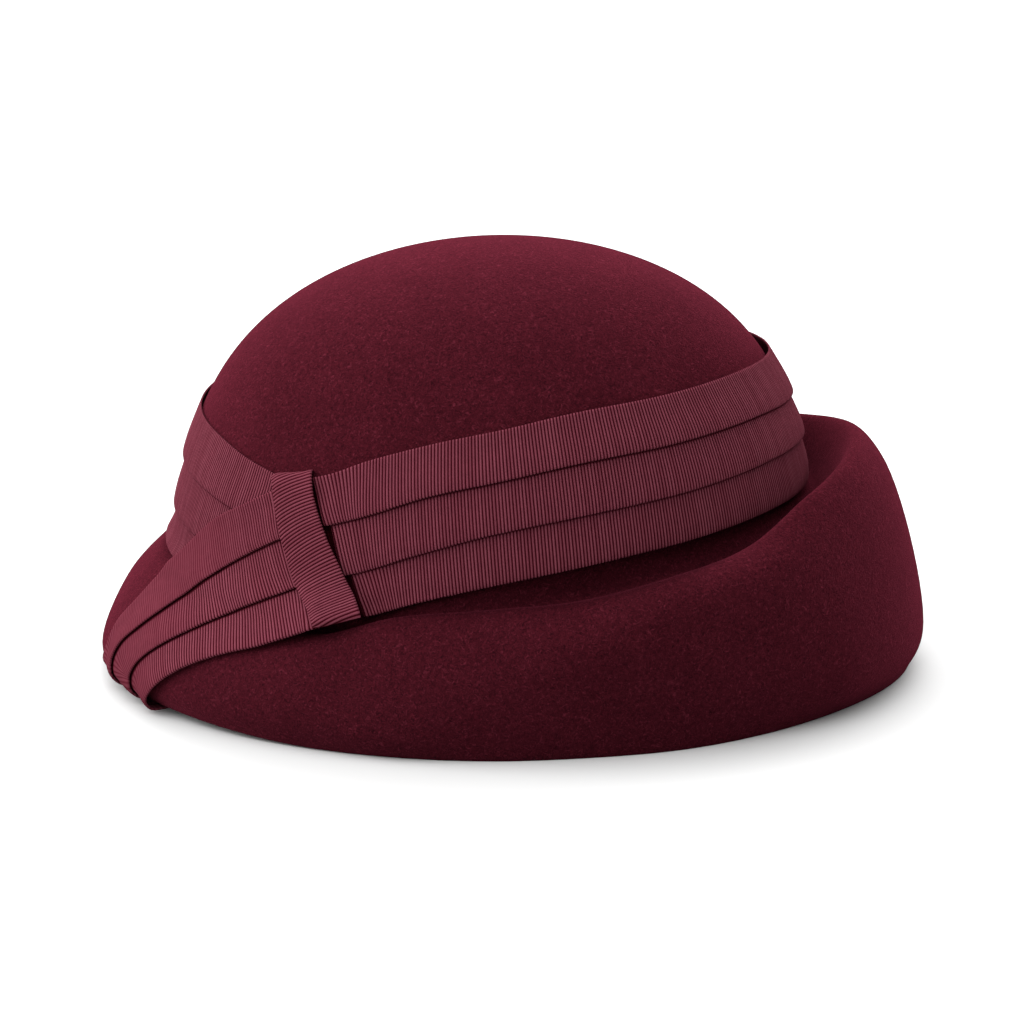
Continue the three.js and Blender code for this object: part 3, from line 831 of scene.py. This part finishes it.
def brushed_wool_felt():
    material, tree = new_material("brushed_wool_felt")
    place = add(tree, "ShaderNodeTexCoord").outputs["Object"]
    tufts = add(
        tree, "ShaderNodeTexNoise",
        {"Scale": 1000 / TUFT, "Detail": 3.0, "Roughness": 0.65, "Distortion": 1.4},
        {"Vector": place},
    ).outputs["Fac"]
    curls = add(
        tree, "ShaderNodeTexNoise",
        {"Scale": 1000 / CURL, "Detail": 2.0, "Roughness": 0.5, "Distortion": 3.0},
        {"Vector": place},
    ).outputs["Fac"]
    height = add(tree, "ShaderNodeMath", {"operation": "MULTIPLY_ADD", 1: 0.6}, {0: curls, 2: tufts})
    bump = add(
        tree, "ShaderNodeBump",
        {"Strength": 0.6, "Distance": 0.5 * MM},
        {"Height": height.outputs[0]},
    )
    surface = add(
        tree, "ShaderNodeBsdfPrincipled",
        {"Roughness": 0.95, "Specular IOR Level": 0.0, "Sheen Weight": 0.12,
         "Sheen Roughness": 0.45, "Sheen Tint": to_linear(FELT_BLOOM)},
        {"Base Color": felt_colour(tree, place, tufts, curls), "Normal": bump.outputs["Normal"]},
    )
    finish_material(tree, surface)
    return material


felt_material = brushed_wool_felt()
felt.data.materials.append(felt_material)
print(f"{felt_material.name}: {len(felt_material.node_tree.nodes)} nodes, tufts {TUFT} mm")

# %% [markdown]
# ## The ribbon's finish
#
# The ribbon is woven of viscose over cotton cords. It is matt beside the felt's bloom: what
# makes it lively is its relief. The crest of each cord carries the light and the grooves
# lie in the shade of the cords, and the colour is painted to follow that too: painted light
# on the crests, painted shade in the grooves. Where a cord is pressed under a lap its number
# is low, so it takes the groove's colour and the lap ends in a dark line, painted shade for
# the shadow of the fold above. The warp is about 0.2 mm a thread, too fine to show, so it
# is drawn at 0.45 mm, as bump.

# %% The ribbon's material
# Painted shade and light: the groove colour darkens the hollows between cords and the crest colour
# lightens their tops.
RIBBON_GROOVE_SHADE, RIBBON_FACE, RIBBON_CREST_LIGHT = "#1e0205", "#42151e", "#64333d"
WARP = 0.45  # mm
SLUB = 1000 / 350  # mm, 350 to the metre: the unevenness of thread and dye


def woven_petersham():
    material, tree = new_material("woven_petersham")
    place = add(tree, "ShaderNodeTexCoord").outputs["Object"]
    cord = add(tree, "ShaderNodeAttribute", {"attribute_name": "cord"})
    across = add(tree, "ShaderNodeAttribute", {"attribute_name": "across"})
    ramp = add(tree, "ShaderNodeValToRGB", {}, {"Fac": cord.outputs["Fac"]})
    groove, crest = ramp.color_ramp.elements
    groove.position, groove.color = 0.15, to_linear(RIBBON_GROOVE_SHADE)
    crest.color = to_linear(RIBBON_CREST_LIGHT)
    ramp.color_ramp.elements.new(0.7).color = to_linear(RIBBON_FACE)
    slub = add(tree, "ShaderNodeTexNoise", {"Scale": 1000 / SLUB, "Detail": 3.0}, {"Vector": place})
    shade = add(
        tree, "ShaderNodeMapRange",
        {"From Min": 0.3, "From Max": 0.7, "To Min": 0.94, "To Max": 1.06},
        {"Value": slub.outputs["Fac"]},
    )
    colour = add(
        tree, "ShaderNodeVectorMath",
        {"operation": "SCALE"},
        {0: ramp.outputs["Color"], "Scale": shade.outputs[0]},
    )
    turns = add(
        tree, "ShaderNodeMath",
        {"operation": "MULTIPLY", 1: 2 * np.pi / WARP},
        {0: across.outputs["Fac"]},
    )
    warp = add(tree, "ShaderNodeMath", {"operation": "SINE"}, {0: turns.outputs[0]})
    height = add(
        tree, "ShaderNodeMath",
        {"operation": "MULTIPLY_ADD", 1: 0.5},
        {0: warp.outputs[0], 2: slub.outputs["Fac"]},
    )
    bump = add(
        tree, "ShaderNodeBump",
        {"Strength": 0.3, "Distance": 0.2 * MM},
        {"Height": height.outputs[0]},
    )
    surface = add(
        tree, "ShaderNodeBsdfPrincipled",
        {"Roughness": 0.6, "Specular IOR Level": 0.0},
        {"Base Color": colour.outputs[0], "Normal": bump.outputs["Normal"]},
    )
    finish_material(tree, surface)
    return material


ribbon_material = woven_petersham()
print(f"{ribbon_material.name}: {len(ribbon_material.node_tree.nodes)} nodes, warp {WARP} mm")

# %% [markdown]
# ## The cords, by Geometry Nodes
#
# Some 1,900 cords cross the ribbons, all alike but for small differences in fullness. A
# cord is a shape that repeats along a path, so a node tree makes them: each point of a
# ribbon knows how far along it lies, and is pushed out by the round profile of its cord.
# The tree also stores the profile, evened out where the cloth is drawn tight and lowered
# where shade is painted on pressed cords, for the material to colour by: painted light on
# the crests, painted shade in the grooves and under the laps.

# %% The round profile of a cord
NUDGE = 0.001  # of a cord, so that a column in a groove always counts to the same side
EVEN_CORD = 0.79  # the mean height of half a circle, which drawn cloth shows all over


def cord_profile(tree, along, pitch):
    """The number of the cord at a point, and the height there of half a circle across it."""
    count = add(tree, "ShaderNodeMath", {"operation": "DIVIDE"}, {0: along, 1: pitch})
    nudged = add(tree, "ShaderNodeMath", {"operation": "ADD", 1: NUDGE}, {0: count.outputs[0]})
    number = add(tree, "ShaderNodeMath", {"operation": "FLOOR"}, {0: nudged.outputs[0]})
    part = add(tree, "ShaderNodeMath", {"operation": "FRACT"}, {0: nudged.outputs[0]})
    side = add(
        tree, "ShaderNodeMath", {"operation": "MULTIPLY_ADD", 1: 2.0, 2: -1.0}, {0: part.outputs[0]}
    )
    square = add(tree, "ShaderNodeMath", {"operation": "POWER", 1: 2.0}, {0: side.outputs[0]})
    below = add(
        tree, "ShaderNodeMath",
        {"operation": "SUBTRACT", 0: 1.0, "use_clamp": True},
        {1: square.outputs[0]},
    )
    profile = add(tree, "ShaderNodeMath", {"operation": "SQRT"}, {0: below.outputs[0]})
    return number.outputs[0], profile.outputs[0]


print(f"half a circle is {np.pi / 4:.2f} high on average, and drawn cloth shows {EVEN_CORD}")

# %% The node tree that raises the cords
INPUTS = {
    "Geometry": "NodeSocketGeometry",
    "Cord pitch": "NodeSocketFloat",
    "Cord height": "NodeSocketFloat",
    "Thinnest cord": "NodeSocketFloat",
    "Seed": "NodeSocketInt",
    "Material": "NodeSocketMaterial",
}


def cord_tree():
    tree = bpy.data.node_groups.new("raise_cords", "GeometryNodeTree")
    for name, kind in INPUTS.items():
        tree.interface.new_socket(name, in_out="INPUT", socket_type=kind)
    tree.interface.new_socket("Geometry", in_out="OUTPUT", socket_type="NodeSocketGeometry")
    given = add(tree, "NodeGroupInput").outputs
    # The open attribute darkens the cords' colour where shade is painted on them.
    along, unshaded_share, drawn = (
        add(tree, "GeometryNodeInputNamedAttribute", {"data_type": "FLOAT", "Name": name}).outputs[0]
        for name in ("along", "open", "drawn")
    )
    proud = add(
        tree, "GeometryNodeInputNamedAttribute", {"data_type": "FLOAT_VECTOR", "Name": "proud"}
    ).outputs[0]
    number, profile = cord_profile(tree, along, given["Cord pitch"])

    # No two cords are equally full.
    fullness = add(
        tree, "FunctionNodeRandomValue",
        {"data_type": "FLOAT", 3: 1.0},
        {2: given["Thinnest cord"], "ID": number, "Seed": given["Seed"]},
    ).outputs[1]
    full = add(tree, "ShaderNodeMath", {"operation": "MULTIPLY"}, {0: profile, 1: fullness}).outputs[0]
    height = add(tree, "ShaderNodeMath", {"operation": "MULTIPLY"}, {0: full, 1: given["Cord height"]})
    offset = add(
        tree, "ShaderNodeVectorMath", {"operation": "SCALE"}, {0: proud, "Scale": height.outputs[0]}
    )
    raised = add(
        tree, "GeometryNodeSetPosition",
        {},
        {"Geometry": given["Geometry"], "Offset": offset.outputs[0]},
    )

    # The number that the material reads: it paints light on the crests and shade in the grooves and on
    # pressed cords.
    evened = add(tree, "ShaderNodeMix", {3: EVEN_CORD}, {0: drawn, 2: full})
    lit = add(tree, "ShaderNodeMath", {"operation": "MULTIPLY"}, {0: evened.outputs[0], 1: unshaded_share})
    stored = add(
        tree, "GeometryNodeStoreNamedAttribute",
        {"data_type": "FLOAT", "domain": "POINT", "Name": "cord"},
        {"Geometry": raised.outputs[0], "Value": lit.outputs[0]},
    )
    real = add(tree, "GeometryNodeRealizeInstances", {}, {"Geometry": stored.outputs[0]})
    dressed = add(
        tree, "GeometryNodeSetMaterial",
        {},
        {"Geometry": real.outputs[0], "Material": given["Material"]},
    )
    add(tree, "NodeGroupOutput", {}, {"Geometry": dressed.outputs[0]})
    return tree


raise_cords = cord_tree()
print(f"{raise_cords.name}: {len(raise_cords.nodes)} nodes")


# %% Cords on every ribbon
def run_nodes(thing, tree, settings):
    """Gives a mesh the tree with these inputs, and keeps what it makes as a plain mesh."""
    modifier = thing.modifiers.new(tree.name, "NODES")
    modifier.node_group = tree
    sockets = {s.name: s.identifier for s in tree.interface.items_tree if s.in_out == "INPUT"}
    for name, value in settings.items():
        modifier[sockets[name]] = value
    bpy.context.view_layer.update()
    evaluated = thing.evaluated_get(bpy.context.evaluated_depsgraph_get())
    made = bpy.data.meshes.new_from_object(evaluated)
    thing.modifiers.remove(modifier)
    thing.data = made
    return thing


for seed, piece in enumerate(ribbons):
    run_nodes(piece, raise_cords, {
        "Cord pitch": CORD_PITCH,
        "Cord height": CORD_HEIGHT * MM,
        "Thinnest cord": THINNEST_CORD,
        "Seed": seed,
        "Material": ribbon_material,
    })
    print(f"{piece.name}: {len(piece.data.polygons)} faces")

# %% [markdown]
# ## Onto the frame
#
# Each piece rides on the one body of the frame and stands for its CAD node, which is
# hidden. The ribbons are strips of cloth, and the size that each was cut to is printed as
# it is made.

# %% Riding and replacing
STANDS_FOR = {
    "band_top": "band_tier_top", "band_middle": "band_tier_middle", "band_bottom": "band_tier_bottom",
    "tail_top": "tail_tier_top", "tail_middle": "tail_tier_middle", "tail_bottom": "tail_tier_bottom",
    "knot_strap_ribbon": "knot_strap",
}
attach(felt, "root")
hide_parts("felt_body")
for piece, (width, length) in ribbons.items():
    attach(piece, "root")
    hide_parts(STANDS_FOR[piece.name])
print("on the frame:", felt.name, *(piece.name for piece in ribbons))

# %% [markdown]
# ## Floor, light and camera
#
# The hat stands on a matt table in a bright white room. The table is painted a pale grey,
# because so much light falls on it that it comes out white, and its one job is to take a
# soft shadow. The light comes from large soft windows, painted on the room round the
# hat: one overhead, a stronger one above the front, and three lower ones, behind on the
# right, straight behind and on the left, which give the crown and the ends their light
# edges. The low front of the brim and all that is under a fold fall away into shade.

# %% Floor
TABLE_HALF = 6.0  # m


def floor():
    corners = [(-1, -1), (1, -1), (1, 1), (-1, 1)]
    mesh = bpy.data.meshes.new("floor")
    mesh.from_pydata([(x * TABLE_HALF, y * TABLE_HALF, 0) for x, y in corners], [], [(0, 1, 2, 3)])
    material, tree = new_material("white_table")
    surface = add(
        tree, "ShaderNodeBsdfPrincipled",
        {"Base Color": to_linear("#aeaeae"), "Roughness": 0.9, "Specular IOR Level": 0.1},
    )
    finish_material(tree, surface)
    mesh.materials.append(material)
    table_top = bpy.data.objects.new("floor", mesh)
    bpy.context.scene.collection.objects.link(table_top)
    return table_top


floor()
print(f"table: {2 * TABLE_HALF:.0f} m across, its top at height 0")

# %% Light
WINDOWS = [  # where each window's middle lies from the hat, how tight it is, how bright
    ((0, 0, 1), 5, 1.5),
    ((0, -0.62, 0.79), 7, 3.3),
    ((0.61, 0.61, 0.5), 7, 5),
    ((0, 0.87, 0.5), 7, 9),
    ((-0.87, 0, 0.5), 7, 9),
]


def lit_room():
    world = bpy.data.worlds.new("studio")
    bpy.context.scene.world = world
    world.use_nodes = True
    tree = world.node_tree
    tree.nodes.clear()
    way = add(tree, "ShaderNodeTexCoord").outputs["Generated"]
    light = None
    for where, tightness, brightness in WINDOWS:
        facing = add(tree, "ShaderNodeVectorMath", {"operation": "DOT_PRODUCT", 1: where}, {0: way})
        ahead = add(tree, "ShaderNodeMath", {"operation": "MAXIMUM", 1: 0.0}, {0: facing.outputs["Value"]})
        near = add(
            tree, "ShaderNodeMath", {"operation": "POWER", 1: float(tightness)}, {0: ahead.outputs[0]}
        )
        power = add(
            tree, "ShaderNodeMath",
            {"operation": "MULTIPLY_ADD", 1: brightness, 2: 0.0},
            {0: near.outputs[0]},
        )
        if light is not None:
            tree.links.new(light.outputs[0], power.inputs[2])
        light = power
    room = add(tree, "ShaderNodeBackground", {"Color": (1, 1, 1, 1)}, {"Strength": light.outputs[0]})
    add(tree, "ShaderNodeOutputWorld", {}, {"Surface": room.outputs[0]})


lit_room()
print(f"windows: {len(WINDOWS)}, the brightest {max(w[2] for w in WINDOWS)}")

# %% [markdown]
# A long lens from a little over a metre keeps the hat's proportions calm, and 16 degrees
# above the table shows the front of the band and a little of the groove. The view is
# left untreated, Standard, so that the colours stay as they are mixed.

# %% Camera
CAMERA_DISTANCE = 1.3  # m
CAMERA_ABOVE = np.radians(16)
CAMERA_AIM_Z = 0.049  # m
LENS = 140.3  # mm, on a sensor 36 mm wide


def camera():
    data = bpy.data.cameras.new("camera")
    data.lens, data.sensor_width = LENS, 36
    thing = bpy.data.objects.new("camera", data)
    bpy.context.scene.collection.objects.link(thing)
    aim = Vector((float(CENTRE_SHIFT[0]) * MM, 0, CAMERA_AIM_Z))
    back = Vector((0, -np.cos(CAMERA_ABOVE), np.sin(CAMERA_ABOVE)))
    thing.location = aim + back * CAMERA_DISTANCE
    thing.rotation_euler = (-back).to_track_quat("-Z", "Y").to_euler()
    bpy.context.scene.camera = thing
    return thing


print("camera in m:", [round(x, 3) for x in camera().location])
bpy.context.scene.view_settings.view_transform = "Standard"
